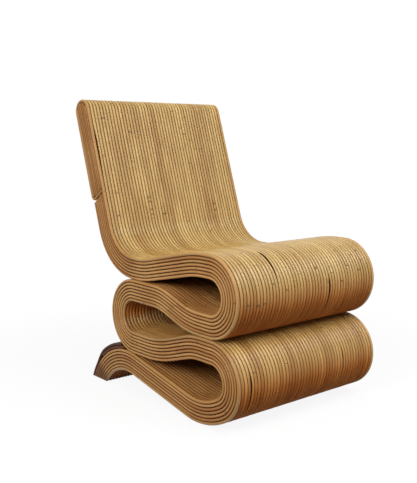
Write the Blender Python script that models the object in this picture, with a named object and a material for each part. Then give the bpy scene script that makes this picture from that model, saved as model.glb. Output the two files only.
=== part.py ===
"""Serpentine rattan chair: one band of seven nested courses of rattan poles, from the foot to the back.

Metres, +Z up, front towards -Y, floor at Z = 0. Every pole of the band follows one route in the YZ plane:
over the foot arch, round the lower front roll, back round the rear roll, forward round the upper front
roll, along the seat and up the back. The route is a belt round pulleys, and each course is a section
swept along it.
"""

import math
from collections import namedtuple

import bmesh
import bpy
from mathutils import Matrix, Vector

# The band: poles side by side across the chair, courses on top of each other through its thickness.
WIDTH = 0.500
POLES = 47
COURSES = 7
POLE_DEPTH = 0.0085
GAP = 0.0003
GROOVE_DEPTH = 0.0029
EDGE_ROUNDING = 0.0032
REAR_RIDGES = 12

# The rolls, to the band's outer face. Y runs from the front of the chair to its rear. The rolls rest flat on
# each other, and where two bends turn the same way, the second is placed by the straight run between them.
FOOT_ARCH_RADIUS = 0.1902
FOOT_ARCH_Y = 0.4713
FOOT_ARCH_HEIGHT = 0.1173
LOWER_HEEL_RADIUS = 0.222
LOWER_RISE_RUN = 0.0081
LOWER_NOSE_RADIUS = 0.1033
LOWER_NOSE_Y = 0.1016
LOWER_NOSE_LIFT = 0.0155
LOWER_TOP_RUN = 0.0464
LOWER_CROWN_RADIUS = 0.224
REAR_KEEL_RADIUS = 0.399
REAR_REST_RUN = 0.0608
REAR_NOSE_RADIUS = 0.1041
REAR_NOSE_Y = 0.4381
REAR_TOP_RUN = 0.0968
REAR_SHOULDER_RADIUS = 0.204
UPPER_KEEL_RADIUS = 0.275
UPPER_REST_RUN = 0.0438
UPPER_NOSE_RADIUS = 0.1049
UPPER_NOSE_Y = 0.109
SEAT_TOP_RUN = 0.0227
SEAT_CROWN_RADIUS = 0.365
SEAT_DIP_RADIUS = 0.297
SEAT_DIP_Y = 0.4136
LUMBAR_RADIUS = 0.1738
SEAT_LEVEL_RUN = 0.0241

# The back: a lower part that the seat runs into, and an upper block that the face course wraps round.
OVERALL_HEIGHT = 0.819
BACK_RECLINE = math.radians(18.3)
SCARF_UP_BACK = 0.095
SCARF_SLANT = math.radians(18)
BLOCK_CORNER_RADIUS = 0.010

# Butt joints in the straight runs, stepped from one course to the next.
JOINT_STEP = 0.008

# Hidden wooden pins through the inner courses.
PIN_DIAMETER = 0.007
PIN_SPREAD = 0.150
PIN_CLEARANCE = 0.0003
PIN_SIDES = 6
BACK_PIN_UP_BLOCK = 0.120

# Resting flat under the lower roll, how far the foot starts below the floor, and how round the bends are.
FLOOR_FLAT = 0.0005
FOOT_OVERRUN = math.radians(6)
FACET_SAG = 0.0038
SMOOTH_ANGLE = math.radians(35)

COURSE_PITCH = POLE_DEPTH + GAP
BAND = COURSES * COURSE_PITCH
HALF_POLE = POLE_DEPTH / 2
MIDDLE_COURSE = (COURSES + 1) / 2

Pulley = namedtuple("Pulley", "y z radius turn")
Place = namedtuple("Place", "point heading")
Run = namedtuple("Run", "length")
Bend = namedtuple("Bend", "centre angle steps")

for old in list(bpy.data.objects):
    bpy.data.objects.remove(old)
parts = bpy.data.collections.new("rattan_chair")
cutters = bpy.data.collections.new("rattan_chair_cutters")
cutters.hide_render = True
bpy.context.scene.collection.children.link(parts)
bpy.context.scene.collection.children.link(cutters)
chair = bpy.data.objects.new("rattan_chair", None)
parts.objects.link(chair)


def bearing(heading):
    """Unit vector along the route."""
    return Vector((0, math.cos(heading), math.sin(heading)))


def across(heading):
    """Unit vector to the left of the route, towards the face course."""
    return Vector((0, -math.sin(heading), math.cos(heading)))


def course_offset(number):
    """How far a course lies from the band's middle: 1 is the face of seat and back, 7 the rear."""
    return (MIDDLE_COURSE - number) * COURSE_PITCH


def facet_steps(angle, radius):
    """Number of facets that keeps the sag of a bend of this outer radius within FACET_SAG."""
    facet = 2 * math.acos(1 - min(FACET_SAG / radius, 1))
    return max(1, math.ceil(abs(angle) / facet))


def pulley(y, z, outer_radius, turn):
    """A roll of the belt, from the radius of the band's outer face to that of its middle."""
    return Pulley(y, z, outer_radius - BAND / 2, turn)


def straight(a, b):
    """Heading and length of the belt's straight run from pulley a to pulley b."""
    reach = Vector((b.y - a.y, b.z - a.z))
    shift = b.turn * b.radius - a.turn * a.radius
    heading = math.atan2(reach.y, reach.x) - math.asin(shift / reach.length)
    return heading, math.sqrt(reach.length_squared - shift**2)


def bend(wheel, start, end):
    """The bend round a pulley from one heading to another, turning the pulley's own way."""
    angle = wheel.turn * ((end - start) * wheel.turn % (2 * math.pi))
    centre = Vector((0, wheel.y, wheel.z))
    return Bend(centre, angle, facet_steps(angle, wheel.radius + BAND / 2))


def on_pulley(wheel, heading):
    """The place on the belt where it leaves a pulley with this heading."""
    return Place(Vector((0, wheel.y, wheel.z)) - across(heading) * wheel.turn * wheel.radius, heading)


def advance(place, moves):
    """Where the route is after these moves."""
    for move in moves:
        if isinstance(move, Run):
            place = Place(place.point + bearing(place.heading) * move.length, place.heading)
        else:
            turned = Matrix.Rotation(move.angle, 3, "X") @ (place.point - move.centre)
            place = Place(move.centre + turned, place.heading + move.angle)
    return place


def rest_on(y, radius, under_y, under_z, under_radius):
    """Height of a roll's centre that rests on a roll below it, with the touching gap."""
    return under_z + math.sqrt((radius + under_radius + GAP) ** 2 - (y - under_y) ** 2)


# The pulleys, each resting on what carries it.
LEFT, RIGHT = 1, -1
arch_z = FOOT_ARCH_HEIGHT - FOOT_ARCH_RADIUS
lower_nose_z = LOWER_NOSE_LIFT + LOWER_NOSE_RADIUS
heel_z = LOWER_HEEL_RADIUS - FLOOR_FLAT
heel_shift = LOWER_HEEL_RADIUS - LOWER_NOSE_RADIUS
heel_y = LOWER_NOSE_Y + math.sqrt(LOWER_RISE_RUN**2 + heel_shift**2 - (heel_z - lower_nose_z) ** 2)
rear_nose_z = rest_on(REAR_NOSE_Y, REAR_NOSE_RADIUS, FOOT_ARCH_Y, arch_z, FOOT_ARCH_RADIUS)
rear_top = rear_nose_z + REAR_NOSE_RADIUS
rear_bottom = rear_nose_z - REAR_NOSE_RADIUS
lower_top = lower_nose_z + LOWER_NOSE_RADIUS
upper_base = lower_top + GAP
seat_top = upper_base + 2 * UPPER_NOSE_RADIUS
seat_bottom = rear_top + GAP

arch = pulley(FOOT_ARCH_Y, arch_z, FOOT_ARCH_RADIUS, LEFT)
heel = pulley(heel_y, heel_z, LOWER_HEEL_RADIUS, RIGHT)
lower_nose = pulley(LOWER_NOSE_Y, lower_nose_z, LOWER_NOSE_RADIUS, RIGHT)
crown_y, crown_z = LOWER_NOSE_Y + LOWER_TOP_RUN, lower_top - LOWER_CROWN_RADIUS
lower_crown = pulley(crown_y, crown_z, LOWER_CROWN_RADIUS, RIGHT)
rear_keel = pulley(REAR_NOSE_Y - REAR_REST_RUN, rear_bottom + REAR_KEEL_RADIUS, REAR_KEEL_RADIUS, LEFT)
rear_nose = pulley(REAR_NOSE_Y, rear_nose_z, REAR_NOSE_RADIUS, LEFT)
shoulder_y, shoulder_z = REAR_NOSE_Y - REAR_TOP_RUN, rear_top - REAR_SHOULDER_RADIUS
rear_shoulder = pulley(shoulder_y, shoulder_z, REAR_SHOULDER_RADIUS, LEFT)
upper_keel_y, upper_keel_z = UPPER_NOSE_Y + UPPER_REST_RUN, upper_base + UPPER_KEEL_RADIUS
upper_keel = pulley(upper_keel_y, upper_keel_z, UPPER_KEEL_RADIUS, RIGHT)
upper_nose = pulley(UPPER_NOSE_Y, upper_base + UPPER_NOSE_RADIUS, UPPER_NOSE_RADIUS, RIGHT)
seat_crown_y, seat_crown_z = UPPER_NOSE_Y + SEAT_TOP_RUN, seat_top - SEAT_CROWN_RADIUS
seat_crown = pulley(seat_crown_y, seat_crown_z, SEAT_CROWN_RADIUS, RIGHT)
seat_dip = pulley(SEAT_DIP_Y, seat_bottom + SEAT_DIP_RADIUS, SEAT_DIP_RADIUS, LEFT)
lumbar = pulley(SEAT_DIP_Y + SEAT_LEVEL_RUN, seat_bottom + LUMBAR_RADIUS, LUMBAR_RADIUS, LEFT)

# The straight runs between them.
foot_heading, foot_run = straight(arch, heel)
rise_heading, rise_run = straight(heel, lower_nose)
top_heading, top_run = straight(lower_nose, lower_crown)
middle_heading, middle_run = straight(lower_crown, rear_keel)
rest_heading, rest_run = straight(rear_keel, rear_nose)
rear_heading, rear_run = straight(rear_nose, rear_shoulder)
upper_heading, upper_run = straight(rear_shoulder, upper_keel)
base_heading, base_run = straight(upper_keel, upper_nose)
crest_heading, crest_run = straight(upper_nose, seat_crown)
seat_heading, seat_run = straight(seat_crown, seat_dip)
level_heading, level_run = straight(seat_dip, lumbar)
back_heading = math.pi / 2 - BACK_RECLINE

# The foot starts under the floor. Its cover course stops where the rear roll leaves no more room for it.
cover_radius = FOOT_ARCH_RADIUS + COURSE_PITCH
start_heading = math.pi - math.acos(-arch_z / cover_radius) - FOOT_OVERRUN
contact_heading = math.atan2(rear_nose_z - arch_z, REAR_NOSE_Y - FOOT_ARCH_Y) + math.pi / 2
centres = FOOT_ARCH_RADIUS + REAR_NOSE_RADIUS + GAP
clear_cosine = (centres**2 + cover_radius**2 - (REAR_NOSE_RADIUS + GAP) ** 2) / (2 * centres * cover_radius)
cover_heading = contact_heading - math.acos(clear_cosine)

cover_bend = bend(arch, start_heading, cover_heading)
foot_bends = [cover_bend, bend(arch, cover_heading, foot_heading)]
heel_bend = bend(heel, foot_heading, math.pi)
lower_roll = [
    bend(heel, math.pi, rise_heading),
    Run(rise_run),
    bend(lower_nose, rise_heading, top_heading),
    Run(top_run),
    bend(lower_crown, top_heading, middle_heading),
]
rear_roll = [
    bend(rear_keel, middle_heading, rest_heading),
    Run(rest_run),
    bend(rear_nose, rest_heading, rear_heading),
    Run(rear_run),
    bend(rear_shoulder, rear_heading, upper_heading),
]
upper_roll = [
    bend(upper_keel, upper_heading, base_heading),
    Run(base_run),
    bend(upper_nose, base_heading, crest_heading),
    Run(crest_run),
    bend(seat_crown, crest_heading, seat_heading),
]
dip_bend = bend(seat_dip, seat_heading, level_heading)
lumbar_bend = bend(lumbar, level_heading, back_heading)

foot_start = on_pulley(arch, start_heading)
middle_start = on_pulley(lower_crown, middle_heading)
upper_start = on_pulley(rear_shoulder, upper_heading)
seat_start = on_pulley(seat_crown, seat_heading)
level_start = on_pulley(seat_dip, level_heading)
back_start = on_pulley(lumbar, back_heading)

# The upper block, in distances up the back from the scarf at the band's middle.
scarf_place = advance(back_start, [Run(SCARF_UP_BACK)])
scarf_tilt = math.tan(SCARF_SLANT)
scarf_secant = 1 / math.cos(SCARF_SLANT)
face_offset = course_offset(1)
block_rear = course_offset(COURSES + 1)
wrap_radius = (face_offset - block_rear) / 2
wrap_offset = (face_offset + block_rear) / 2
wrap_centre_z = OVERALL_HEIGHT - wrap_radius - HALF_POLE
wrap_rise = wrap_centre_z - scarf_place.point.z - across(back_heading).z * wrap_offset
wrap_up = wrap_rise / math.sin(back_heading)
rim_up = (HALF_POLE + GAP) * scarf_secant
corner_offset = block_rear + BLOCK_CORNER_RADIUS
corner_up = rim_up + scarf_tilt * corner_offset + BLOCK_CORNER_RADIUS * scarf_secant


def block_point(up, offset):
    return scarf_place.point + bearing(back_heading) * up + across(back_heading) * offset


def block_bend(up, offset, angle, radius):
    return Bend(block_point(up, offset), angle, facet_steps(angle, radius + HALF_POLE))


def wrap_moves():
    """The face course over the top of the block, down its rear and round its lower corner."""
    rim_start = corner_offset + BLOCK_CORNER_RADIUS * math.sin(SCARF_SLANT)
    rim_end = face_offset - HALF_POLE - GAP - HALF_POLE * math.sin(SCARF_SLANT)
    return [
        Run(SCARF_UP_BACK + wrap_up),
        block_bend(wrap_up, wrap_offset, -back_heading, wrap_radius),
        block_bend(wrap_up, wrap_offset, back_heading - math.pi, wrap_radius),
        Run(wrap_up - corner_up),
        block_bend(corner_up, corner_offset, -math.pi / 2 - SCARF_SLANT, BLOCK_CORNER_RADIUS),
        Run((rim_end - rim_start) * scarf_secant),
    ]


def room_in_bend(move, radius):
    """Free radius inside a faceted bend of this middle radius."""
    return (radius - HALF_POLE) * math.cos(move.angle / move.steps / 2) - GAP


def block_floor(offset):
    """Where an inner pole of the block starts: on the rim pole, or in its corner."""
    corner = wrap_moves()[4]
    room = room_in_bend(corner, BLOCK_CORNER_RADIUS)
    if offset >= corner_offset:
        return rim_up + (HALF_POLE + GAP) * scarf_secant + scarf_tilt * offset
    return corner_up - math.sqrt(max(0, room**2 - (corner_offset - offset) ** 2))


def block_ceiling(offset):
    """Where an inner pole of the block ends, under the wrapped course."""
    room = room_in_bend(wrap_moves()[1], wrap_radius)
    return wrap_up + math.sqrt(max(0, room**2 - (offset - wrap_offset) ** 2))


def flat_section(offset):
    """Section of an inner course: flat faces, and pole-round edges at both sides of the chair."""
    side = WIDTH / 2
    inset = side - EDGE_ROUNDING
    top, bottom = offset + HALF_POLE, offset - HALF_POLE
    return [(inset, top), (side, offset), (inset, bottom), (-inset, bottom), (-side, offset), (-inset, top)]


def reeded_section(offset, face, ridges=POLES):
    """Section of an outer course: a ridge for each pole, or group of poles, on the face side, flat behind."""
    ridge = offset + face * HALF_POLE
    groove = ridge - face * GROOVE_DEPTH
    behind = offset - face * HALF_POLE
    side = WIDTH / 2
    pitch = WIDTH / ridges
    outline = [(-side, groove)]
    for number in range(ridges):
        outline.append((-side + (number + 0.5) * pitch, ridge))
        outline.append((-side + (number + 1) * pitch, groove))
    return outline + [(side - EDGE_ROUNDING, behind), (-side + EDGE_ROUNDING, behind)]


def tilt_ring(ring, place, middle, tilt):
    """Slants the cut of a course's end, so that it rises with the distance from the course's middle."""
    for vert in ring:
        offset = (vert.co - place.point).dot(across(place.heading)) - middle
        vert.co += bearing(place.heading) * offset * tilt


def extrude_ring(bm, edges, place, move):
    """Carries the open end of a course along one move of the route."""
    if isinstance(move, Bend):
        swept = bmesh.ops.spin(
            bm, geom=edges, cent=move.centre, axis=(1, 0, 0), angle=move.angle, steps=move.steps
        )["geom_last"]
    else:
        swept = bmesh.ops.extrude_edge_only(bm, edges=edges)["geom"]
        verts = [item for item in swept if isinstance(item, bmesh.types.BMVert)]
        bmesh.ops.translate(bm, verts=verts, vec=bearing(place.heading) * move.length)
    last = [item for item in swept if isinstance(item, bmesh.types.BMEdge)]
    return last, advance(place, [move])


def cut_level(bm):
    """Cuts off what lies below the floor and closes the cut."""
    everything = bm.verts[:] + bm.edges[:] + bm.faces[:]
    cut = bmesh.ops.bisect_plane(
        bm, geom=everything, dist=1e-6, plane_co=(0, 0, 0), plane_no=(0, 0, 1), clear_inner=True
    )["geom_cut"]
    bmesh.ops.holes_fill(bm, edges=[item for item in cut if isinstance(item, bmesh.types.BMEdge)])


def add_object(name, bm, material, collection):
    bmesh.ops.recalc_face_normals(bm, faces=bm.faces)
    mesh = bpy.data.meshes.new(name)
    bm.to_mesh(mesh)
    bm.free()
    mesh.shade_smooth()
    mesh.set_sharp_from_angle(angle=SMOOTH_ANGLE)
    mesh.materials.append(material)
    made = bpy.data.objects.new(name, mesh)
    made.parent = chair
    collection.objects.link(made)
    return made


def sweep(name, section, middle, place, moves, material, tilts=(0, 0), level=False):
    """One length of a course: its section carried from a place along the moves, capped at both ends."""
    bm = bmesh.new()
    outward = across(place.heading)
    ring = [bm.verts.new(place.point + outward * offset + Vector((x, 0, 0))) for x, offset in section]
    edges = [bm.edges.new((ring[i - 1], ring[i])) for i in range(len(ring))]
    tilt_ring(ring, place, middle, tilts[0])
    first = edges
    for move in moves:
        edges, place = extrude_ring(bm, edges, place, move)
    last = list({vert for edge in edges for vert in edge.verts})
    tilt_ring(last, place, middle, tilts[1] - tilts[0])
    bmesh.ops.holes_fill(bm, edges=first)
    bmesh.ops.holes_fill(bm, edges=edges)
    if level:
        cut_level(bm)
    return add_object(name, bm, material, parts)


def rattan(name, colour, roughness):
    material = bpy.data.materials.new(name)
    material.use_nodes = True
    shader = material.node_tree.nodes["Principled BSDF"]
    shader.inputs["Base Color"].default_value = (*colour, 1)
    shader.inputs["Roughness"].default_value = roughness
    shader.inputs["Metallic"].default_value = 0
    return material


face_rattan = rattan("face_rattan", (0.56, 0.38, 0.19), 0.5)
core_rattan = rattan("core_rattan", (0.38, 0.22, 0.10), 0.6)
foot_rattan = rattan("foot_rattan", (0.20, 0.11, 0.05), 0.65)
pin_wood = rattan("pin_wood", (0.50, 0.36, 0.22), 0.7)


def joint_in(run, number):
    """Where a course's butt joint lies in a straight run: stepped about the middle of the run."""
    return run / 2 + (number - MIDDLE_COURSE) * JOINT_STEP


def make_face_course():
    """Course 1: under the foot, round both front rolls, along the seat, up the back and round its block."""
    offset = course_offset(1)
    flat, reeded = flat_section(offset), reeded_section(offset, 1)
    middle_end, upper_end = joint_in(middle_run, 1), joint_in(upper_run, 1)
    foot_moves = [*foot_bends, Run(foot_run - GAP), heel_bend]
    sweep("course_1_foot", flat, offset, foot_start, foot_moves, face_rattan, level=True)
    front_moves = [*lower_roll, Run(middle_end)]
    sweep("course_1_front", reeded, offset, on_pulley(heel, math.pi), front_moves, face_rattan, level=True)
    rear_start = advance(middle_start, [Run(middle_end + GAP)])
    rear_moves = [Run(middle_run - middle_end - GAP), *rear_roll, Run(upper_end)]
    sweep("course_1_rear", flat, offset, rear_start, rear_moves, face_rattan)
    seat_from = advance(upper_start, [Run(upper_end + GAP)])
    seat_moves = [Run(upper_run - upper_end - GAP), *upper_roll, Run(seat_run), dip_bend]
    sweep("course_1_seat", reeded, offset, seat_from, seat_moves, face_rattan)
    back_from = advance(level_start, [Run(GAP)])
    back_moves = [Run(level_run - GAP), lumbar_bend, *wrap_moves()]
    sweep("course_1_back", reeded, offset, back_from, back_moves, face_rattan)


def make_foot_length(number):
    """From the foot over the arch, along the floor and round the lower roll."""
    offset = course_offset(number)
    moves = [*foot_bends, Run(foot_run), heel_bend, *lower_roll, Run(joint_in(middle_run, number))]
    sweep(f"course_{number}_foot", flat_section(offset), offset, foot_start, moves, core_rattan, level=True)


def make_rear_length(number):
    """Round the rear roll, from butt joint to butt joint."""
    offset = course_offset(number)
    start = joint_in(middle_run, number) + GAP
    moves = [Run(middle_run - start), *rear_roll, Run(joint_in(upper_run, number))]
    place = advance(middle_start, [Run(start)])
    section = flat_section(offset) if number < COURSES else reeded_section(offset, -1, REAR_RIDGES)
    sweep(f"course_{number}_rear", section, offset, place, moves, core_rattan)


def make_seat_length(number):
    """Round the upper roll, under the seat's face and up the back to the scarf."""
    offset = course_offset(number)
    flat = flat_section(offset)
    start = joint_in(upper_run, number) + GAP
    place = advance(upper_start, [Run(start)])
    moves = [Run(upper_run - start), *upper_roll, Run(seat_run), dip_bend]
    to_scarf = [lumbar_bend, Run(SCARF_UP_BACK + scarf_tilt * offset)]
    if number < COURSES:
        moves += [Run(level_run), *to_scarf]
        return sweep(f"course_{number}_seat", flat, offset, place, moves, core_rattan, (0, scarf_tilt))
    lumbar_place = advance(level_start, [Run(GAP)])
    lumbar_moves = [Run(level_run - GAP), *to_scarf]
    reeded = reeded_section(offset, -1)
    sweep(f"course_{number}_lumbar", reeded, offset, lumbar_place, lumbar_moves, core_rattan, (0, scarf_tilt))
    return sweep(f"course_{number}_seat", flat, offset, place, moves, core_rattan)


def make_back_length(number):
    """In the upper block, from the rim pole up to the underside of the wrapped course."""
    offset = course_offset(number)
    low = [block_floor(offset + side * HALF_POLE) for side in (-1, 1)]
    high = [block_ceiling(offset + side * HALF_POLE) for side in (-1, 1)]
    tilts = ((low[1] - low[0]) / POLE_DEPTH, (high[1] - high[0]) / POLE_DEPTH)
    place = advance(scarf_place, [Run(sum(low) / 2)])
    moves = [Run(sum(high) / 2 - sum(low) / 2)]
    return sweep(f"course_{number}_back", flat_section(offset), offset, place, moves, core_rattan, tilts)


def make_cover():
    """The darker course that lies over the foot's arch, behind the rear roll."""
    offset = course_offset(COURSES + 1)
    section = reeded_section(offset, -1, REAR_RIDGES)
    sweep("foot_cover", section, offset, foot_start, [cover_bend], foot_rattan, level=True)


def pin_mesh(place, x, low, high, radius):
    """A round pin across the band, between two distances from its middle."""
    bm = bmesh.new()
    bmesh.ops.create_cone(
        bm, cap_ends=True, segments=PIN_SIDES, radius1=radius, radius2=radius, depth=high - low
    )
    turn = Matrix.Rotation(place.heading, 4, "X")
    centre = place.point + across(place.heading) * (low + high) / 2 + Vector((x, 0, 0))
    bmesh.ops.transform(bm, matrix=Matrix.Translation(centre) @ turn, verts=bm.verts)
    return bm


def make_pins(where, place, first, last, courses):
    """A pair of pins through courses first to last, seen from the front, and the holes that they sit in."""
    high = course_offset(first) + HALF_POLE
    low = course_offset(last) - HALF_POLE
    for side, x in (("left", -PIN_SPREAD), ("right", PIN_SPREAD)):
        pin = pin_mesh(place, x, low, high, PIN_DIAMETER / 2)
        add_object(f"{where}_pin_{side}", pin, pin_wood, parts)
        hole = pin_mesh(place, x, low - POLE_DEPTH, high + POLE_DEPTH, PIN_DIAMETER / 2 + PIN_CLEARANCE)
        cutter = add_object(f"{where}_hole_{side}", hole, pin_wood, cutters)
        cutter.hide_render = True
        cutter.display_type = "WIRE"
        for course in courses:
            drill = course.modifiers.new(cutter.name, "BOOLEAN")
            drill.operation = "DIFFERENCE"
            drill.object = cutter


def centre_depth():
    """Moves the chair so that its depth is centred on the origin."""
    reach = [vert.co.y for piece in parts.objects if piece.data for vert in piece.data.vertices]
    chair.location.y = -(min(reach) + max(reach)) / 2


make_face_course()
make_cover()
seat_lengths = []
back_lengths = []
for number in range(2, COURSES + 1):
    make_foot_length(number)
    make_rear_length(number)
    seat_lengths.append(make_seat_length(number))
    back_lengths.append(make_back_length(number))
seat_pins = advance(seat_start, [Run(seat_run / 2)])
make_pins("seat", seat_pins, 2, COURSES - 1, seat_lengths[:-1])
back_pins = advance(scarf_place, [Run(BACK_PIN_UP_BLOCK)])
make_pins("back", back_pins, 2, COURSES, back_lengths)
centre_depth()
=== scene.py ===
# %% [markdown]
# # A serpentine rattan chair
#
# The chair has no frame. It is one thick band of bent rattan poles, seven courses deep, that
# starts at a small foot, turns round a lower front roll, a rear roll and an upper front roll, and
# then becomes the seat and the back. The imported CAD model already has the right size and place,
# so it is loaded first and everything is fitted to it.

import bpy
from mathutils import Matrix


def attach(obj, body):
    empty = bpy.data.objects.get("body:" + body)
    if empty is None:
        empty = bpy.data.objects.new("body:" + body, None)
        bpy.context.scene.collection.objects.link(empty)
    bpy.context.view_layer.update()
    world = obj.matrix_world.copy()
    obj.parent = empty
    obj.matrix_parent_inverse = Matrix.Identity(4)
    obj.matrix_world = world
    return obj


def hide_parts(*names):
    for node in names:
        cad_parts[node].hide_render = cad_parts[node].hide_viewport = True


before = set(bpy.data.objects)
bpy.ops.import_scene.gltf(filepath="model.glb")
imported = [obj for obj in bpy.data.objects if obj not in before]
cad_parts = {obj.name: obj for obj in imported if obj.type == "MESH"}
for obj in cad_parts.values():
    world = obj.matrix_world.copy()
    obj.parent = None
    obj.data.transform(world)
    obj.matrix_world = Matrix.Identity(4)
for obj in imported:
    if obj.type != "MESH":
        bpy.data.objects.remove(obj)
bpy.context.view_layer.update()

# %% [markdown]
# ## The camera
#
# A picture of a chair can be taken from any distance, and the distance changes its perspective.
# The parallel poles of the seat and the parallel edges of the rolls give the vanishing points,
# and those give the camera: about two metres away, to the left of the front, looking slightly
# down.

# %% Camera
import math

import bpy

CAMERA_PLACE = (-1.3658, -1.5969, 0.6983)
LOOKING_DOWN = math.radians(7.6755)
LOOKING_ASIDE = math.radians(39.6723)
LENS_LENGTH = 55.432
SENSOR_WIDTH = 36

camera = bpy.data.objects.new("camera", bpy.data.cameras.new("camera"))
bpy.context.scene.collection.objects.link(camera)
camera.location = CAMERA_PLACE
camera.rotation_euler = (math.pi / 2 - LOOKING_DOWN, 0, -LOOKING_ASIDE)
camera.data.lens = LENS_LENGTH
camera.data.sensor_width = SENSOR_WIDTH
bpy.context.scene.camera = camera
print("camera at", tuple(camera.location))

# %% [markdown]
# ## The route of the band
#
# On the real chair each pole is steamed, bent round formers and nailed to the course below it. A
# path like that could be drawn as a free curve, but formers are round, so the route is a belt
# that runs round pulleys: arcs with straight runs between them. A roll that rests on another
# takes its height from it, and lies on it with a short level run, so the rolls touch as they do
# on the chair. All lengths are in metres.

# %% Sizes of the band and its rolls
WIDTH = 0.500
POLES = 47
COURSES = 7
POLE_DEPTH = 0.0085
GAP = 0.0003
DEPTH_CENTRE = 0.3597038
PITCH = WIDTH / POLES
HALF_POLE = POLE_DEPTH / 2
COURSE_PITCH = POLE_DEPTH + GAP
BAND = COURSES * COURSE_PITCH

FOOT_ARCH = {"radius": 0.1902, "y": 0.4713, "height": 0.1173}
HEEL_RADIUS, RISE_RUN, FLOOR_FLAT = 0.222, 0.0081, 0.0005
LOWER_NOSE = {"radius": 0.1033, "y": 0.1016, "lift": 0.0155}
LOWER_CROWN = {"radius": 0.224, "run": 0.0464}
REAR_KEEL = {"radius": 0.399, "run": 0.0608}
REAR_NOSE = {"radius": 0.1041, "y": 0.4381}
REAR_SHOULDER = {"radius": 0.204, "run": 0.0968}
UPPER_KEEL = {"radius": 0.275, "run": 0.0438}
UPPER_NOSE = {"radius": 0.1049, "y": 0.109}
SEAT_CROWN = {"radius": 0.365, "run": 0.0227}
SEAT_DIP = {"radius": 0.297, "y": 0.4136}
LUMBAR = {"radius": 0.1738, "run": 0.0241}
BACK_RECLINE = math.radians(18.3)
print("pole pitch", round(PITCH * 1000, 2), "mm, band", round(BAND * 1000, 1), "mm thick")

# %% Pulleys, each resting on what carries it
from collections import namedtuple

from mathutils import Matrix, Vector

LEFT, RIGHT = 1, -1
Pulley = namedtuple("Pulley", "centre radius turn")


def pulley(y, z, outer_radius, turn):
    """A roll, from the radius of its outer face to the middle of the band."""
    return Pulley(Vector((0, y - DEPTH_CENTRE, z)), outer_radius - BAND / 2, turn)


def lying_at(y, bottom, roll, turn):
    """A roll whose lowest point is at this height."""
    return pulley(y, bottom + roll["radius"], roll["radius"], turn)


def hanging_at(y, top, roll, turn):
    """A roll whose highest point is at this height."""
    return pulley(y, top - roll["radius"], roll["radius"], turn)


arch_z = FOOT_ARCH["height"] - FOOT_ARCH["radius"]
nose_z = LOWER_NOSE["lift"] + LOWER_NOSE["radius"]
heel_z = HEEL_RADIUS - FLOOR_FLAT
heel_reach = RISE_RUN**2 + (HEEL_RADIUS - LOWER_NOSE["radius"]) ** 2 - (heel_z - nose_z) ** 2
heel_y = LOWER_NOSE["y"] + math.sqrt(heel_reach)
rear_reach = FOOT_ARCH["radius"] + REAR_NOSE["radius"] + GAP
rear_z = arch_z + math.sqrt(rear_reach**2 - (REAR_NOSE["y"] - FOOT_ARCH["y"]) ** 2)
lower_top = nose_z + LOWER_NOSE["radius"]
rear_bottom, rear_top = rear_z - REAR_NOSE["radius"], rear_z + REAR_NOSE["radius"]
upper_base, seat_bottom = lower_top + GAP, rear_top + GAP
seat_top = upper_base + 2 * UPPER_NOSE["radius"]

arch = pulley(FOOT_ARCH["y"], arch_z, FOOT_ARCH["radius"], LEFT)
heel = pulley(heel_y, heel_z, HEEL_RADIUS, RIGHT)
lower_nose = hanging_at(LOWER_NOSE["y"], lower_top, LOWER_NOSE, RIGHT)
lower_crown = hanging_at(LOWER_NOSE["y"] + LOWER_CROWN["run"], lower_top, LOWER_CROWN, RIGHT)
rear_keel = lying_at(REAR_NOSE["y"] - REAR_KEEL["run"], rear_bottom, REAR_KEEL, LEFT)
rear_nose = lying_at(REAR_NOSE["y"], rear_bottom, REAR_NOSE, LEFT)
rear_shoulder = hanging_at(REAR_NOSE["y"] - REAR_SHOULDER["run"], rear_top, REAR_SHOULDER, LEFT)
upper_keel = lying_at(UPPER_NOSE["y"] + UPPER_KEEL["run"], upper_base, UPPER_KEEL, RIGHT)
upper_nose = lying_at(UPPER_NOSE["y"], upper_base, UPPER_NOSE, RIGHT)
seat_crown = hanging_at(UPPER_NOSE["y"] + SEAT_CROWN["run"], seat_top, SEAT_CROWN, RIGHT)
seat_dip = lying_at(SEAT_DIP["y"], seat_bottom, SEAT_DIP, LEFT)
lumbar = lying_at(SEAT_DIP["y"] + LUMBAR["run"], seat_bottom, LUMBAR, LEFT)
print("the rolls rest at heights", [round(v, 3) for v in (rear_bottom, upper_base, seat_bottom)])

# %% [markdown]
# A place on the route is a point and a heading. A move takes it further: straight on, or round a
# centre. The band then is a list of moves, and the place at any distance along it follows by
# making the moves one after another. The foot starts a little below the floor, where it is cut
# level later.

# %% Places and moves
Place = namedtuple("Place", "point heading")
Move = namedtuple("Move", "length angle centre parts")
BEND_SAG = 0.00016
RUN_STEP = 0.045
FOOT_OVERRUN = math.radians(6)


def bearing(heading):
    """Along the route."""
    return Vector((0, math.cos(heading), math.sin(heading)))


def outward(heading):
    """To the left of the route, towards the face course."""
    return Vector((0, -math.sin(heading), math.cos(heading)))


def run(length):
    """Straight on."""
    return Move(length, 0, None, max(1, math.ceil(length / RUN_STEP)))


def bend(centre, angle, radius, outer_radius):
    """Round a centre, in steps that keep the outer face within the sag."""
    facet = 2 * math.acos(1 - BEND_SAG / outer_radius)
    return Move(abs(angle) * radius, angle, centre, max(1, math.ceil(abs(angle) / facet)))


def go(place, move, distance):
    """Where a place gets to, this far into a move."""
    if not move.angle:
        return Place(place.point + bearing(place.heading) * distance, place.heading)
    angle = move.angle * distance / move.length
    turned = Matrix.Rotation(angle, 3, "X") @ (place.point - move.centre)
    return Place(move.centre + turned, place.heading + angle)


def place_on(path, distance):
    """The place this far along a path."""
    place, moves = path
    for move in moves:
        part = min(distance, move.length)
        place = go(place, move, part)
        distance -= part
    return place


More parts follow.
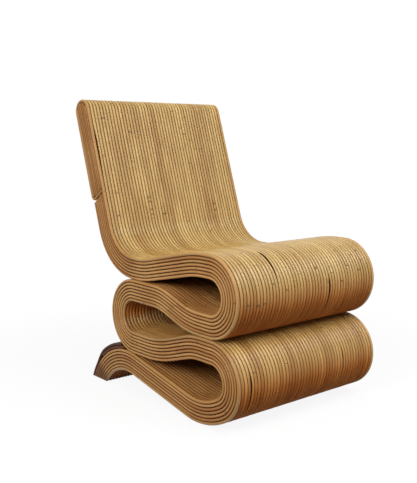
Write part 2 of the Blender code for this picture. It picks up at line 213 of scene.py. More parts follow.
# %% The belt round the pulleys
def straight(a, b):
    """Heading and length of the straight run between two pulleys."""
    reach = b.centre - a.centre
    shift = b.turn * b.radius - a.turn * a.radius
    heading = math.atan2(reach.z, reach.y) - math.asin(shift / reach.length)
    return heading, math.sqrt(reach.length_squared - shift**2)


def round_pulley(wheel, start, end):
    """The bend from one heading to another."""
    angle = wheel.turn * ((end - start) * wheel.turn % (2 * math.pi))
    return bend(wheel.centre, angle, wheel.radius, wheel.radius + BAND / 2)


cover_radius = FOOT_ARCH["radius"] + COURSE_PITCH
start_heading = math.pi - math.acos(-arch_z / cover_radius) - FOOT_OVERRUN
back_heading = math.pi / 2 - BACK_RECLINE
wheels = [arch, heel, lower_nose, lower_crown, rear_keel, rear_nose, rear_shoulder, upper_keel, upper_nose]
wheels += [seat_crown, seat_dip, lumbar]
stretches = ["foot", "rise", "top", "middle", "rest", "rear", "upper", "base", "crest", "seat", "level"]
band_moves = []
reached = {}
heading = start_heading
for wheel, following, stretch in zip(wheels, wheels[1:] + [None], stretches + ["back"]):
    leaving, length = straight(wheel, following) if following else (back_heading, 0)
    band_moves.append(round_pulley(wheel, heading, leaving))
    reached[stretch] = sum(move.length for move in band_moves)
    if following:
        band_moves.append(run(length))
    reached[stretch + "_end"] = sum(move.length for move in band_moves)
    heading = leaving
foot_start = Place(arch.centre - outward(start_heading) * arch.radius, start_heading)
print("straight runs start at", {name: round(value, 3) for name, value in reached.items()})

# %% [markdown]
# ## The upper block of the back
#
# The back's upper part is thicker by one course, because the face course wraps over its top,
# comes down its rear and turns in under it. There the block ends in a slanted joint, which shows
# at the side as a dark slit.

# %% The block and its wrap
OVERALL_HEIGHT = 0.819
SCARF_UP_BACK = 0.095
SCARF_SLANT = math.radians(18)
CORNER_RADIUS = 0.010


def course_offset(number):
    """How far a course lies from the middle of the band: 1 is the face, 7 the rear."""
    return ((COURSES + 1) / 2 - number) * COURSE_PITCH


back_start = place_on((foot_start, band_moves), reached["back"])
scarf = go(back_start, run(SCARF_UP_BACK), SCARF_UP_BACK)
scarf_tilt, scarf_secant = math.tan(SCARF_SLANT), 1 / math.cos(SCARF_SLANT)
face_offset, block_rear = course_offset(1), course_offset(COURSES + 1)
wrap_radius, wrap_offset = (face_offset - block_rear) / 2, (face_offset + block_rear) / 2
wrap_rise = OVERALL_HEIGHT - wrap_radius - HALF_POLE - scarf.point.z - outward(back_heading).z * wrap_offset
wrap_up = wrap_rise / math.sin(back_heading)
rim_up = (HALF_POLE + GAP) * scarf_secant
corner_offset = block_rear + CORNER_RADIUS
corner_up = rim_up + scarf_tilt * corner_offset + CORNER_RADIUS * scarf_secant
rim_start = corner_offset + CORNER_RADIUS * math.sin(SCARF_SLANT)
rim_end = face_offset - HALF_POLE - GAP - HALF_POLE * math.sin(SCARF_SLANT)


def in_block(up, offset):
    """A point in the block, from the middle of its slanted joint."""
    return scarf.point + bearing(back_heading) * up + outward(back_heading) * offset


corner_centre, corner_turn = in_block(corner_up, corner_offset), -math.pi / 2 - SCARF_SLANT
wrap_moves = [
    run(SCARF_UP_BACK + wrap_up),
    bend(in_block(wrap_up, wrap_offset), -math.pi, wrap_radius, wrap_radius + HALF_POLE),
    run(wrap_up - corner_up),
    bend(corner_centre, corner_turn, CORNER_RADIUS, CORNER_RADIUS + HALF_POLE),
    run((rim_end - rim_start) * scarf_secant),
]
face_path = (foot_start, band_moves + wrap_moves)
core_path = (foot_start, band_moves + [run(SCARF_UP_BACK + wrap_up + wrap_radius)])
face_end = reached["back"] + sum(move.length for move in wrap_moves)
print("the face course is", round(face_end, 3), "m long")

# %% [markdown]
# ## A pole
#
# A rattan pole is a solid stem, a little oval where it is pressed against its neighbours, with a
# slight ring at each node where a leaf grew. It could be a bevelled curve, but then nothing would
# know how far along the stem a point lies. Here one ring of vertices is carried from stop to stop
# along the route, and each ring gets what the finish needs later: the distance along the pole,
# the place round it, how close it lies to a touching pole, and how much painted shade it takes.
# The painted shade is a brown darkening: none where the face looks up, most where it looks down
# or lies in a hollow. The outermost rows take one middling level of it.

# %% Rings of a pole
import bmesh

SIDES = 12
HALF_WIDTH = PITCH / 2 - GAP / 2
KNOT_REACH = 0.007
KNOT_SWELL = 1.03
END_ROUNDING = 0.0011
END_TAPER = 0.88
SLIT_CLOSING = 4
Slit = namedtuple("Slit", "side start end width")


def section(place, x, offset, half_width, half_depth, tilt=0):
    """The matrix that puts a unit circle across the route, as the section of a pole."""
    out, on = outward(place.heading), bearing(place.heading)
    columns = (Vector((half_width, 0, 0)), (out + on * tilt) * half_depth, on)
    matrix = Matrix.Translation(place.point + out * offset + Vector((x, 0, 0)))
    for number, column in enumerate(columns):
        matrix.col[number][:3] = column
    return matrix


def ring_stops(path, start, end, knots):
    """Distances at which a pole gets a ring: along bends and runs, at its ends and round its nodes."""
    stops = {start, start + END_ROUNDING, end - END_ROUNDING, end}
    passed = 0
    for move in path[1]:
        stops.update(passed + move.length * part / move.parts for part in range(move.parts + 1))
        passed += move.length
    for knot in knots:
        stops.update((knot - KNOT_REACH, knot, knot + KNOT_REACH))
    return sorted(stop for stop in stops if start <= stop <= end)


def slit_width(slits, distance):
    """How much a pole is narrowed on its left and on its right, where a slit stands open beside it.

    A slit opens slowly along its length, and closes over its last fifth.
    """
    narrowed = {LEFT: 0, RIGHT: 0}
    for slit in slits:
        if slit.start < distance < slit.end:
            share = (distance - slit.start) / (slit.end - slit.start)
            narrowed[slit.side] = slit.width * min(share, (1 - share) * SLIT_CLOSING, 1)
    return narrowed[LEFT], narrowed[RIGHT]


# %% Marks that a ring carries
MARKS = ("along", "around", "tint", "warmth", "knot", "stain_and_shade", "age")
# How fast an open slit adds near-black painted shade to the pole beside it.
SLIT_SHADE_PER_METRE = 250
# Painted shade by facing: none while the face looks up more than this, full this much lower.
UNSHADED_ABOVE = 0.38
SHADING_SPAN = 0.7


def mark_layers(bm):
    return {name: bm.verts.layers.float.get(name) or bm.verts.layers.float.new(name) for name in MARKS}


def mark_section(verts, layers, matrix, face, touching, left, right):
    """The place round the pole, with its seam behind, and how close it is to the poles that it touches.

    Where a slit stands open, the pole beside it gets a near-black painted shade.
    """
    back = matrix.inverted()
    for vert in verts:
        local = back @ vert.co
        vert[layers["around"]] = math.atan2(local.x, -face * local.y) / (2 * math.pi) % 1
        to_right, to_left = local.x * (1 + right * SLIT_SHADE_PER_METRE), -local.x * (1 + left * SLIT_SHADE_PER_METRE)
        reaches = {"R": to_right, "L": to_left, "F": local.y, "B": -local.y}
        vert[layers["stain_and_shade"]] = max([0, *(reaches[side] for side in touching)])


def shade_by_facing(heading, face):
    """How much brown painted shade a face takes: 0 where it looks up, 1 where it looks down."""
    return min(1, max(0, (UNSHADED_ABOVE - face * outward(heading).z) / SHADING_SPAN))


# %% Sweeping a ring along the route
def ends_of(edges):
    return list({vert for edge in edges for vert in edge.verts})


def only(kind, items):
    return [item for item in items if isinstance(item, kind)]


def sweep(bm, sides, sections):
    """Carries a ring of vertices from section to section, hands out each ring, and closes both ends."""
    edges, before = None, None
    for here in sections:
        if edges is None:
            ring = bmesh.ops.create_circle(bm, segments=sides, radius=1, matrix=here)["verts"]
            edges = first = list({edge for vert in ring for edge in vert.link_edges})
        else:
            swept = bmesh.ops.extrude_edge_only(bm, edges=edges)["geom"]
            ring, edges = only(bmesh.types.BMVert, swept), only(bmesh.types.BMEdge, swept)
            bmesh.ops.transform(bm, matrix=here @ before.inverted(), verts=ring)
        before = here
        yield ring
    for rim in (first, edges):
        bmesh.ops.contextual_create(bm, geom=rim + ends_of(rim))


# %% One length of pole
REDDISH = 0.9


def add_length(
    bm,
    path,
    start,
    end,
    x,
    offset,
    face,
    touching,
    knots,
    tilts=(0, 0),
    slits=(),
    hidden=0,
    lift=None,
    reddish=(0, 0),
    **marks,
):
    """A cut length of pole, from one distance along a path to another, closed at both ends.

    The face is 1 for the face course and -1 for the rear. The touching sides are letters, for a
    neighbour at the right, the left, the front or the back.
    """
    layers = mark_layers(bm)
    stops = ring_stops(path, start, end, knots)
    places = [place_on(path, stop) for stop in stops]
    openings = [slit_width(slits, stop) for stop in stops]
    sections = []
    for stop, place, (left, right) in zip(stops, places, openings):
        at_end = stop in (start, end)
        swell = END_TAPER if at_end else KNOT_SWELL if stop in knots else 1
        tilt = {start: tilts[0], end: tilts[1]}.get(stop, 0)
        half_width = (HALF_WIDTH - (left + right) / 2) * swell
        depth = offset + (lift(stop) if lift else 0)
        sections.append(section(place, x + (left - right) / 2, depth, half_width, HALF_POLE * swell, tilt))
    for number, ring in enumerate(sweep(bm, SIDES, sections)):
        stop = stops[number]
        if slits or number == 0:
            mark_section(ring, layers, sections[number], face, touching, *openings[number])
        # Painted shade: brown darkening by how far the face looks down, plus what is added for hollows and
        # the lower roll.
        age = min(1, shade_by_facing(places[number].heading, face) + hidden)
        for vert in ring:
            vert[layers["along"]] = stop
            vert[layers["knot"]] = knots.get(stop, 0)
            vert[layers["age"]] = age
            for name, value in marks.items():
                vert[layers[name]] = value
            if reddish[0] < stop < reddish[1]:
                vert[layers["warmth"]] = REDDISH


# %% [markdown]
# A baked texture needs a flat map of the surface. Each pole is unrolled to one straight strip,
# with the strips of a piece stacked like the poles themselves and the cut ends laid out beside
# them, so that nothing overlaps.

# %% Strips of a map
STRIP_END = 0.88
STRIP_MARGIN = 0.004
BAND_MARGIN = 0.08
CAP_STEP = 0.02
CAP_SHARE = 0.4
CAPS_IN_LINE = 5


def unroll(bm, band, bands, span):
    """Lays the pole's surface out as one strip of the map."""
    layers = mark_layers(bm)
    uv = bm.loops.layers.uv.new("OFBake")
    height = 1 / bands
    caps = 0
    for face in bm.faces:
        turns = [loop.vert[layers["around"]] for loop in face.loops]
        if len(turns) > 4:
            centre = Vector((STRIP_END + CAP_STEP * (1 + caps % CAPS_IN_LINE), (band + 0.5) * height))
            radius = CAP_SHARE * min(height, CAP_STEP)
            for loop, turn in zip(face.loops, turns):
                angle = 2 * math.pi * turn
                loop[uv].uv = centre + radius * Vector((math.cos(angle), math.sin(angle)))
            caps += 1
            continue
        wraps = max(turns) - min(turns) > 0.5
        for loop, turn in zip(face.loops, turns):
            if wraps and turn < 0.5:
                turn += 1
            share = (loop.vert[layers["along"]] - span[0]) / (span[1] - span[0])
            across = band + BAND_MARGIN + (1 - 2 * BAND_MARGIN) * turn
            loop[uv].uv = (STRIP_MARGIN + (STRIP_END - 2 * STRIP_MARGIN) * share, across * height)


# %% [markdown]
# The foot and the lower roll stand on the floor, and the real poles are sawn and sanded level
# there. A plane cut does the same: what lies below the floor goes, and each cut is closed.

# %% Level cut and joining poles into one piece
SHARP_FROM = math.radians(58)
NEXT_TO_NOTHING = 1e-6


def cut_level(bm):
    """Takes off what lies below the floor, and closes each cut."""
    everything = bm.verts[:] + bm.edges[:] + bm.faces[:]
    cut = bmesh.ops.bisect_plane(
        bm,
        geom=everything,
        dist=NEXT_TO_NOTHING,
        plane_co=(0, 0, 0),
        plane_no=(0, 0, 1),
        clear_inner=True,
    )["geom_cut"]
    bmesh.ops.holes_fill(bm, edges=only(bmesh.types.BMEdge, cut))


def join_pole(whole, bm):
    """Adds a finished pole to its piece."""
    bmesh.ops.recalc_face_normals(bm, faces=bm.faces)
    mesh = bpy.data.meshes.new("pole")
    bm.to_mesh(mesh)
    bm.free()
    whole.from_mesh(mesh)
    bpy.data.meshes.remove(mesh)


def finish_piece(name, whole, material):
    """Makes the object, which rides on the chair and stands for the CAD node of the same name."""
    mesh = bpy.data.meshes.new(name + "_poles")
    whole.to_mesh(mesh)
    whole.free()
    mesh.shade_smooth()
    mesh.set_sharp_from_angle(angle=SHARP_FROM)
    mesh.materials.append(material)
    piece = bpy.data.objects.new(name + "_poles", mesh)
    bpy.context.scene.collection.objects.link(piece)
    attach(piece, "root")
    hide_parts(name)
    print(name, "faces", len(mesh.polygons))
    return piece


# %% [markdown]
# ## The finish of rattan
#
# Peeled rattan is honey-coloured under a satin varnish. Each stem differs a little, from pale
# straw to reddish brown, with fine fibres along it, broad streaks of tone, a brown mark at a node
# here and there, and dark grooves, which are partly varnish stain and partly painted shade where
# the poles touch. Open slits get a near-black painted shade, and the rows that face down or lie in
# a hollow get a brown painted shade. The varnish is duller on the back, where people lean, and the
# foot's end is sealed brown. An image could show this for one view only, so the marks on the
# rings drive a few noise textures instead. Sums on sockets are easier to read as plain Python, so
# a small class does them.

# %% Sums on sockets
class Wire:
    """A shader socket that takes part in sums as a number does."""

    def __init__(self, tree, socket=None):
        self.tree = tree
        self.socket = socket

    def node(self, kind, settings, values, output=0):
        """Adds any node, with its settings first and then its socket values or links."""
        made = self.tree.nodes.new(kind)
        for name, setting in settings.items():
            setattr(made, name, setting)
        for name, value in values.items():
            if isinstance(value, Wire):
                self.tree.links.new(value.socket, made.inputs[name])
            else:
                made.inputs[name].default_value = value
        return Wire(self.tree, made.outputs[output])

    def math(self, operation, first, second):
        return self.node("ShaderNodeMath", {"operation": operation}, {0: first, 1: second})

    def __add__(self, other):
        return self.math("ADD", self, other)

    def __sub__(self, other):
        return self.math("SUBTRACT", self, other)

    def __rsub__(self, other):
        return self.math("SUBTRACT", other, self)

    def __mul__(self, other):
        return self.math("MULTIPLY", self, other)

    __radd__ = __add__
    __rmul__ = __mul__


# %% Steps that the finishes share
MIX_FACTOR, MIX_FIRST_COLOUR, MIX_SECOND_COLOUR, MIXED_COLOUR = 0, 6, 7, 2


def attribute(start, name):
    return start.node("ShaderNodeAttribute", {"attribute_name": name}, {}, "Fac")


def noise(start, x, y, z, detail):
    vector = start.node("ShaderNodeCombineXYZ", {}, {0: x, 1: y, 2: z})
    return start.node("ShaderNodeTexNoise", {}, {"Vector": vector, "Scale": 1, "Detail": detail}, "Fac")


def ease(value, low, high):
    """0 below low, 1 above high, smooth between."""
    settings = {"interpolation_type": "SMOOTHSTEP"}
    return value.node("ShaderNodeMapRange", settings, {"Value": value, "From Min": low, "From Max": high})


def blend_colours(factor, first, second, way="MIX"):
    first, second = (shade if isinstance(shade, Wire) else (*shade, 1) for shade in (first, second))
    settings = {"data_type": "RGBA", "blend_type": way}
    values = {MIX_FACTOR: factor, MIX_FIRST_COLOUR: first, MIX_SECOND_COLOUR: second}
    return factor.node("ShaderNodeMix", settings, values, MIXED_COLOUR)


def new_finish(name):
    material = bpy.data.materials.new(name)
    material.use_nodes = True
    return material, Wire(material.node_tree), material.node_tree.nodes["Principled BSDF"]


def plug(wire, shader, socket):
    wire.tree.links.new(wire.socket, shader.inputs[socket])


# %% Rattan
PAINTED_SHADE_BROWN = (0.92, 0.48, 0.30)
SEALED = (0.12, 0.045, 0.014)
KNOT = (0.15, 0.068, 0.020)
SLIT_SHADE = (0.030, 0.014, 0.006)
SEALED_END = (0.055, 0.085)
RUBBED_DULL = (reached["seat_end"], reached["back"])
GROOVE_NARROWING = 0.25
FIBRE_ALONG, FIBRE_AROUND, FIBRE_SHIFT = 12, 40, 71
TONE_ALONG, TONE_AROUND, TONE_SHIFT = 4.5, 2, 37
STREAK_ACROSS, STREAK_ALONG = 34, 9
BUMP_STRENGTH, BUMP_HEIGHT = 0.2, 0.0005
VARNISH_ROUGHNESS, CANE_SHINE = 0.36, 0.15


def rattan(name, pale, deep, rust, groove, groove_from, roughness, coat):
    """Varnished cane, whose dark grooves, partly stain and partly painted shade, start this near a
    neighbour: 1 is where the two touch.
    """
    material, start, shader = new_finish(name)
    along, around, tint, warmth, knot, stain_and_shade, age = (attribute(start, mark) for mark in MARKS)
    place = start.node("ShaderNodeTexCoord", {}, {}, "Object")
    across = start.node("ShaderNodeSeparateXYZ", {}, {0: place}, "X")
    fibre = noise(start, along * FIBRE_ALONG, around * FIBRE_AROUND, tint * FIBRE_SHIFT, 2)
    tone = noise(start, along * TONE_ALONG, around * TONE_AROUND, tint * TONE_SHIFT, 2)
    streak = noise(start, across * STREAK_ACROSS, along * STREAK_ALONG, 0.5, 2)
    grain = fibre - 0.5

    # Each effect is a sum of marks and noises, eased from where it starts to where it is full.
    deepened = ease(tint * 0.4 + tone * 0.8 + streak * 1.1 + fibre * 0.35, 0.75, 1.85)
    reddened = ease(warmth + age * 0.3 + (tone + streak - 1) * 1.1, 0.35, 1.05)
    # Redness is partly the stem's own warmth and tone, and partly painted shade.
    knotted = ease(knot + grain * 0.5, 0.2, 0.9)
    sealed = 1 - ease(along + grain * 0.02, *SEALED_END)
    # The grooves: partly varnish stain, partly painted shade where poles touch; narrower under the painted
    # shade of the facing.
    dark = ease(stain_and_shade + grain * 0.2, groove_from + age * GROOVE_NARROWING, 1) * (1 - sealed * 0.8)
    # Painted shade: near black inside an open slit.
    slit_shade = ease(stain_and_shade, 1.02, 1.25)
    rubbed = ease(along, *RUBBED_DULL)

    body = blend_colours(deepened, pale, deep)
    body = blend_colours(reddened * 0.65, body, rust)
    # Painted shade: a brown multiply where the face looks down or lies in a hollow.
    body = blend_colours(age, body, PAINTED_SHADE_BROWN, "MULTIPLY")
    body = blend_colours(knotted * 0.9, body, KNOT)
    body = blend_colours(sealed * 0.85, body, SEALED)
    body = blend_colours(dark * 0.95, body, groove)
    body = blend_colours(slit_shade, body, SLIT_SHADE)
    plug(body, shader, "Base Color")
    plug(roughness + fibre * 0.14 + dark * 0.3 + age * 0.2, shader, "Roughness")
    plug(coat * (1 - dark) * (1 - age) * (1 - rubbed * 0.35), shader, "Coat Weight")
    bump = {"Strength": BUMP_STRENGTH, "Distance": BUMP_HEIGHT, "Height": fibre * 0.6 + tone * 0.4}
    plug(start.node("ShaderNodeBump", {}, bump), shader, "Normal")
    shader.inputs["Coat Roughness"].default_value = VARNISH_ROUGHNESS
    shader.inputs["Specular IOR Level"].default_value = CANE_SHINE
    return material


# %% The three finishes of this chair
# Each groove colour is partly varnish stain and partly painted shade.
face_rattan = rattan(
    "varnished_face",
    pale=(0.58, 0.397, 0.134),
    deep=(0.375, 0.217, 0.057),
    rust=(0.34, 0.172, 0.037),
    groove=(0.115, 0.046, 0.008),
    groove_from=0.58,
    roughness=0.45,
    coat=1.0,
)
core_rattan = rattan(
    "varnished_core",
    pale=(0.64, 0.405, 0.145),
    deep=(0.42, 0.22, 0.060),
    rust=(0.40, 0.18, 0.045),
    groove=(0.06, 0.021, 0.005),
    groove_from=0.3,
    roughness=0.45,
    coat=0.5,
)
# The foot's dark colour is partly a darker stain and partly painted shade.
foot_rattan = rattan(
    "dark_foot",
    pale=(0.085, 0.042, 0.021),
    deep=(0.040, 0.019, 0.010),
    rust=(0.15, 0.04, 0.018),
    groove=(0.03, 0.014, 0.006),
    groove_from=0.6,
    roughness=0.5,
    coat=0.1,
)
print("finishes:", [material.name for material in (face_rattan, core_rattan, foot_rattan)])

# %% [markdown]
# ## The face course
#
# The face is what one sees and sits on: 47 poles side by side. No stem is long enough for the
# whole route, so each row is pieced together from lengths whose butt joints are scattered. Chance
# picks most of them, from a fixed seed, so that the chair is the same at every run. The marks
# that catch the eye on this chair are listed one by one: slits where a row has sprung, a few open
# joints, stained nodes, and some reddish stems. Each is given by the number of its row, counted
# from the left of the picture, and its distances along the route.

# %% Rows, joints and chance
import random

FOOT_JOINT = reached["foot_end"] + (straight(arch, heel)[0] - math.pi) * heel.radius
LEVEL_JOINT = reached["level"]
JOINT_STEP = 0.008
JOINT_SCATTER = 0.030
OWN_SCATTER = 0.0001


def course_joint(stretch, number):
    """Where a course's lengths meet in a straight run, stepped from course to course."""
    middle = (reached[stretch] + reached[stretch + "_end"]) / 2
    return middle + (number - (COURSES + 1) / 2) * JOINT_STEP


def scattered(joint, pole):
    """The joint of one row, scattered about the joint of its course."""
    return joint + random.Random(f"joint {joint:.4f} {pole}").uniform(-JOINT_SCATTER, JOINT_SCATTER)


face_joints = [FOOT_JOINT, course_joint("middle", 1), course_joint("upper", 1), LEVEL_JOINT]
rear_joints = [course_joint("middle", COURSES), course_joint("upper", COURSES), LEVEL_JOINT + OWN_SCATTER]


def row_end(joint, pole):
    """Where one row of a course ends: at its own joint, or else at the plain end of the path."""
    return scattered(joint, pole) if joint in face_joints + rear_joints else joint


def row_x(pole):
    return (pole + 0.5) * PITCH - WIDTH / 2


def touched_sides(pole, behind):
    """The letters of the sides where a row has a neighbour."""
    return behind + ("R" if pole < POLES - 1 else "") + ("L" if pole > 0 else "")


print("joints of the face course at", [round(joint, 3) for joint in face_joints])


# %% Marks listed one by one
slits = {
    12: [Slit(RIGHT, 1.857, 1.940, 0.0030)],
    13: [Slit(LEFT, 1.857, 1.940, 0.0026)],
    29: [Slit(RIGHT, 1.757, 1.863, 0.0022)],
    30: [Slit(LEFT, 1.757, 1.863, 0.0022)],
    3: [Slit(RIGHT, 0.605, 0.735, 0.0016)],
    4: [Slit(LEFT, 0.605, 0.735, 0.0016)],
    34: [Slit(RIGHT, 0.640, 0.735, 0.0011)],
    35: [Slit(LEFT, 0.640, 0.735, 0.0011)],
    0: [Slit(RIGHT, 2.592, 2.745, 0.0018)],
    1: [Slit(LEFT, 2.592, 2.745, 0.0022)],
}
open_joints = {22: [1.911], 36: [1.907], 15: [0.726], 19: [2.486], 34: [2.687], 40: [1.892]}
stained_knots = {
    2: [2.425],
    3: [1.832],
    5: [0.727],
    6: [1.826],
    7: [2.289, 0.677],
    8: [1.829, 1.937],
    11: [1.859],
    12: [2.742],
    14: [2.539, 2.528, 2.503, 2.488, 2.476],
    15: [0.727],
    18: [2.487],
    22: [1.906],
    26: [1.875],
    31: [1.864, 2.736],
    33: [2.409],
    34: [1.844],
    36: [1.906],
    37: [2.487],
    41: [1.859],
    43: [1.899],
}
NOT_REDDISH = (0, 0)
reddish_rows = {
    7: (2.271, 2.420),
    8: (2.330, 2.440),
    16: (0.650, 0.720),
    17: (0.660, 0.750),
    18: (0.640, 0.700),
    19: (2.560, 2.640),
    34: (2.430, 2.560),
    35: (2.480, 2.640),
    36: (2.400, 2.520),
}


def by_hand(marks, pole, path, none=()):
    """What is listed for a row. Only the face course has such marks."""
    return marks.get(pole, none) if path is face_path else none


print("marks by hand:", len(slits) // 2, "slits,", len(stained_knots), "rows with stains")

# %% Chance along a row
CUT_CLEAR = 0.02
LONG_ROW, LONG_ROW_CLEAR, CUT_CHANCE = 0.45, 0.12, 0.35
FIRST_NODE, NODE_STEP = (0.05, 0.30), (0.22, 0.42)
KNOT_END = 0.008
DARK_RARITY = 4


def seldom_high(chance, rarity):
    """A number from 0 to 1 that is high the more seldom, the greater its rarity."""
    return chance.random() ** rarity


def row_lengths(chance, start, end, joints):
    """Cuts a row into lengths, at the given joints and at one more by chance where it is long."""
    cuts = [joint for joint in joints if start + CUT_CLEAR < joint < end - CUT_CLEAR]
    if end - start > LONG_ROW and not cuts and chance.random() < CUT_CHANCE:
        cuts.append(chance.uniform(start + LONG_ROW_CLEAR, end - LONG_ROW_CLEAR))
    ends = [start, *sorted(cuts), end]
    return list(zip(ends, ends[1:]))


def chance_knots(chance, start, end):
    """Nodes along a length, and how dark each has turned."""
    knots = {}
    at = start + chance.uniform(*FIRST_NODE)
    while at < end - KNOT_END:
        knots[at] = seldom_high(chance, DARK_RARITY)
        at += chance.uniform(*NODE_STEP)
    return knots


# %% One row and one course that shows
RED_RARITY = 5
STAINED = 0.9
LENGTH_GAP = 0.0004
UNEVENNESS = 0.0004
EDGE_PAINTED_SHADE = 0.35


def add_row(whole, name, path, start, end, pole, offset, face, behind, level=False, hidden=0):
    """One row of a course, cut into lengths."""
    chance = random.Random(f"{name} {pole}")
    bm = bmesh.new()
    sink = chance.uniform(0, UNEVENNESS)
    for low, high in row_lengths(chance, start, end, by_hand(open_joints, pole, path)):
        knots = chance_knots(chance, low, high)
        for knot in by_hand(stained_knots, pole, path):
            if low + KNOT_END < knot < high - KNOT_END:
                knots[knot] = STAINED
        warmth = seldom_high(chance, RED_RARITY)
        # The outermost rows take one middling level of painted shade.
        edge = {"age": EDGE_PAINTED_SHADE} if pole in (0, POLES - 1) else {}
        add_length(
            bm,
            path,
            low + LENGTH_GAP,
            high - LENGTH_GAP,
            row_x(pole),
            offset - face * sink,
            face,
            touched_sides(pole, behind),
            knots,
            slits=by_hand(slits, pole, path),
            hidden=hidden,
            reddish=by_hand(reddish_rows, pole, path, NOT_REDDISH),
            tint=chance.random(),
            warmth=warmth,
            **edge,
        )
    if level:
        cut_level(bm)
    unroll(bm, pole, POLES, (start, end))
    join_pole(whole, bm)


def make_course(name, path, start, end, offset, face, behind, material, level=False, hidden=0):
    """A course of 47 rows, each with its own ends near those of the course."""
    whole = bmesh.new()
    for pole in range(POLES):
        low, high = row_end(start, pole), row_end(end, pole)
        add_row(whole, name, path, low, high, pole, offset, face, behind, level, hidden)
    return finish_piece(name, whole, material)


# %% The face course, from the foot to the rim of the block
# Extra painted shade: for rows that line a hollow, and for the lower front roll under the seat.
HOLLOW_PAINTED_SHADE = 0.45
UNDER_SEAT_PAINTED_SHADE = 0.2

face_parts = ["course_1_foot", "course_1_front", "course_1_rear", "course_1_seat", "course_1_back"]
for name, start, end in zip(face_parts, [0, *face_joints], [*face_joints, face_end]):
    level = name in ("course_1_foot", "course_1_front")
    hidden = {"course_1_rear": HOLLOW_PAINTED_SHADE, "course_1_front": UNDER_SEAT_PAINTED_SHADE}.get(name, 0)
    make_course(
        name,
        face_path,
        start,
        end,
        offset=face_offset,
        face=1,
        behind="B",
        material=face_rattan,
        level=level,
        hidden=hidden,
    )

# %% [markdown]
# ## The rear course and the inner courses
#
# Course 7 is the other side of the band. It lines the upper and lower hollows and shows at the
# rear, so it has all its rows too. Of the courses between, only the outermost row at either side
# of the chair can ever be seen. Those rows are poles like the others, and the hidden rows between
# them are one mat, which keeps the model light.

# %% The rear course
REAR_OFFSET = course_offset(COURSES)
SCARF_OPEN = 0.004


def scarf_end(number):
    """Where an inner course stops under the block, whose joint has opened a little."""
    return reached["back"] + SCARF_UP_BACK + scarf_tilt * course_offset(number) - SCARF_OPEN


rear_parts = ["course_7_foot", "course_7_rear", "course_7_seat", "course_7_lumbar"]
# The rear course lines the hollows, so it takes their extra painted shade.
for name, start, end in zip(rear_parts, [0, *rear_joints], [*rear_joints, scarf_end(COURSES)]):
    make_course(
        name,
        core_path,
        start,
        end,
        offset=REAR_OFFSET,
        face=-1,
        behind="F",
        material=core_rattan,
        level=name == "course_7_foot",
        hidden=HOLLOW_PAINTED_SHADE,
    )


# %% A mat for the hidden rows
def add_mat(bm, path, start, end, offset, tilts):
    """A flat bar that stands for the rows that no one can see, between the two outermost ones.

    Its start may be slanted, which leaves no room for the ring that rounds a pole there.
    """
    layers = mark_layers(bm)
    half_width = WIDTH / 2 - PITCH - GAP
    corner = math.sqrt(2)
    turn = Matrix.Rotation(math.pi / 4, 4, "Z")
    rounding = start + END_ROUNDING
    stops = [stop for stop in ring_stops(path, start, end, ()) if abs(stop - rounding) > NEXT_TO_NOTHING]
    sections = []
    for stop in stops:
        tilt = {start: tilts[0], end: tilts[1]}.get(stop, 0)
        flat = section(place_on(path, stop), 0, offset, half_width * corner, HALF_POLE * corner, tilt)
        sections.append(flat @ turn)
    for number, ring in enumerate(sweep(bm, 4, sections)):
        for side, vert in enumerate(ring):
            if number == 0:
                vert[layers["around"]] = side / 4
            vert[layers["along"]] = stops[number]
            # The mat takes the full groove stain and painted shade.
            vert[layers["stain_and_shade"]] = 1


# %% Inner courses: two edge rows and a mat
EDGE_RED_RARITY = 3
INNER_STRIPS = 3


def make_inner(name, start, end, number, tilts=(0, 0), level=False):
    """A length of a course inside the band: its two outermost rows, and a mat between them."""
    whole = bmesh.new()
    offset = course_offset(number)
    for band, pole in enumerate((0, POLES - 1)):
        chance = random.Random(f"{name} {pole}")
        bm = bmesh.new()
        knots = chance_knots(chance, start, end)
        add_length(
            bm,
            core_path,
            start + GAP,
            end - GAP,
            row_x(pole),
            offset,
            1,
            touched_sides(pole, "FB"),
            knots,
            tilts,
            tint=chance.random(),
            warmth=seldom_high(chance, EDGE_RED_RARITY),
            # The outermost rows take one middling level of painted shade.
            age=EDGE_PAINTED_SHADE,
        )
        if level:
            cut_level(bm)
        unroll(bm, band, INNER_STRIPS, (start, end))
        join_pole(whole, bm)
    bm = bmesh.new()
    add_mat(bm, core_path, start, end, offset, tilts)
    if level:
        cut_level(bm)
    unroll(bm, INNER_STRIPS - 1, INNER_STRIPS, (start, end))
    join_pole(whole, bm)
    return finish_piece(name, whole, core_rattan)


for number in range(2, COURSES):
    middle_joint, upper_joint = course_joint("middle", number), course_joint("upper", number)
    make_inner(f"course_{number}_foot", 0, middle_joint, number, level=True)
    make_inner(f"course_{number}_rear", middle_joint, upper_joint, number)
    make_inner(f"course_{number}_seat", upper_joint, scarf_end(number), number, (0, scarf_tilt))


# %% [markdown]
# In the upper block the poles stand between the rim and the wrapped top. Each is cut to the room
# that is left there: slanted at the bottom along the scarf, and rounded off at the top by the
# curve of the wrap.

# %% Poles of the upper block
def room_inside(radius):
    """Free radius inside a bend of the wrapped course."""
    return radius - HALF_POLE - GAP


def block_floor(offset):
    """How far up from the joint the room for a course begins: on the rim, or in the rounded corner."""
    if offset >= corner_offset:
        return rim_up + (HALF_POLE + GAP) * scarf_secant + scarf_tilt * offset
    return corner_up - math.sqrt(max(0, room_inside(CORNER_RADIUS) ** 2 - (corner_offset - offset) ** 2))


def block_ceiling(offset):
    """How far up that room ends, under the curve of the wrap."""
    return wrap_up + math.sqrt(max(0, room_inside(wrap_radius) ** 2 - (offset - wrap_offset) ** 2))


